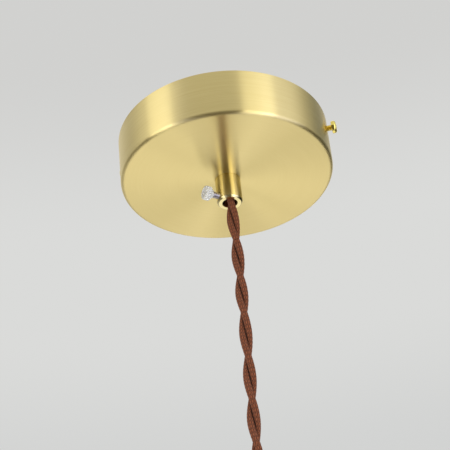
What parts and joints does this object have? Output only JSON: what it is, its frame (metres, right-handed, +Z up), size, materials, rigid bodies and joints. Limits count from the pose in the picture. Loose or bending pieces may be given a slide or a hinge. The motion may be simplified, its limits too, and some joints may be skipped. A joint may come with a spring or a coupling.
{
  "type": "ceiling pendant cup with cord grip",
  "caption": "Shallow brushed brass ceiling cup with a screw-clamped cord grip, a twisted fabric cord and a brass lampholder.",
  "frame": {"origin": "on the ceiling plane, midway between the bracket's two screw slots, over the middle of the cup", "axes": "+Z up into the ceiling; X along the line of the two side screws and the two slots; the part hangs towards -Z"},
  "size_m": [0.1071, 0.1, 0.2369],
  "materials": {
    "brushed_brass": "fine turned brushing, satin",
    "polished_brass": "polished",
    "gold_screw": "bright gold plated",
    "plain_brass": "plain turned",
    "zinc_steel": "zinc plated, slightly dull",
    "clear_plastic": "clear moulded, glossy",
    "brown_fabric": "fine braided rayon over the cores",
    "white_plastic": "moulded, matt",
    "earth_green": "smooth insulation, green with a yellow stripe"
  },
  "bodies": {
    "bracket": {"mounting_bracket": "zinc_steel"},
    "canopy": {"canopy_cup": "brushed_brass", "side_screw_nuts": "zinc_steel", "hollow_nipple": "zinc_steel", "nipple_nut": "zinc_steel", "lock_washer": "zinc_steel", "earth_lug": "zinc_steel", "earth_lead": "earth_green", "terminal_block": "white_plastic", "terminal_barrels": "plain_brass", "terminal_screws": "zinc_steel", "core_ferrules": "zinc_steel", "line_core_tail": "brown_fabric", "neutral_core_tail": "brown_fabric", "grip_sleeve": "polished_brass", "cord_in_grip": "brown_fabric"},
    "right_screw": {"side_screw_right": "gold_screw"},
    "left_screw": {"side_screw_left": "gold_screw"},
    "grip_stud": {"grip_screw_stud": "zinc_steel"},
    "grip_knob": {"grip_screw_knob": "clear_plastic"},
    "drop": {"cord_drop": "brown_fabric", "holder_sleeve": "polished_brass", "holder_nipple": "zinc_steel", "holder_nut": "zinc_steel", "holder_cap": "brushed_brass", "holder_shell": "brushed_brass", "holder_insulator": "white_plastic", "holder_clamp_screws": "zinc_steel", "holder_thread_shell": "plain_brass", "holder_centre_contact": "plain_brass", "holder_core_tails": "brown_fabric"}
  },
  "joints": [
    {"name": "canopy_drop", "type": "slide", "parent": "bracket", "child": "canopy", "axis": [0, 0, -1], "range_m": [0, 0.04]},
    {"name": "right_screw_travel", "type": "slide", "parent": "canopy", "child": "right_screw", "axis": [1, 0, 0], "range_m": [-0.0021, 0.0029]},
    {"name": "left_screw_travel", "type": "slide", "parent": "canopy", "child": "left_screw", "axis": [-1, 0, 0], "range_m": [0, 0.005]},
    {"name": "grip_screw_travel", "type": "slide", "parent": "canopy", "child": "grip_stud", "axis": [-0.7206, -0.6934, 0], "range_m": [0, 0.0015]},
    {"name": "grip_knob_turn", "type": "hinge", "parent": "grip_stud", "child": "grip_knob", "pos_m": [0, 0, -0.0354], "axis": [-0.7206, -0.6934, 0], "range_deg": [0, 1080]},
    {"name": "cord_height", "type": "slide", "parent": "canopy", "child": "drop", "axis": [0, 0, 1], "range_m": [-0.011, 0.011], "deforming": ["cord_in_grip"]}
  ],
  "couplings": [
    {"joint": "grip_knob_turn", "follows": "grip_screw_travel", "rad_per_m": 12566}
  ]
}
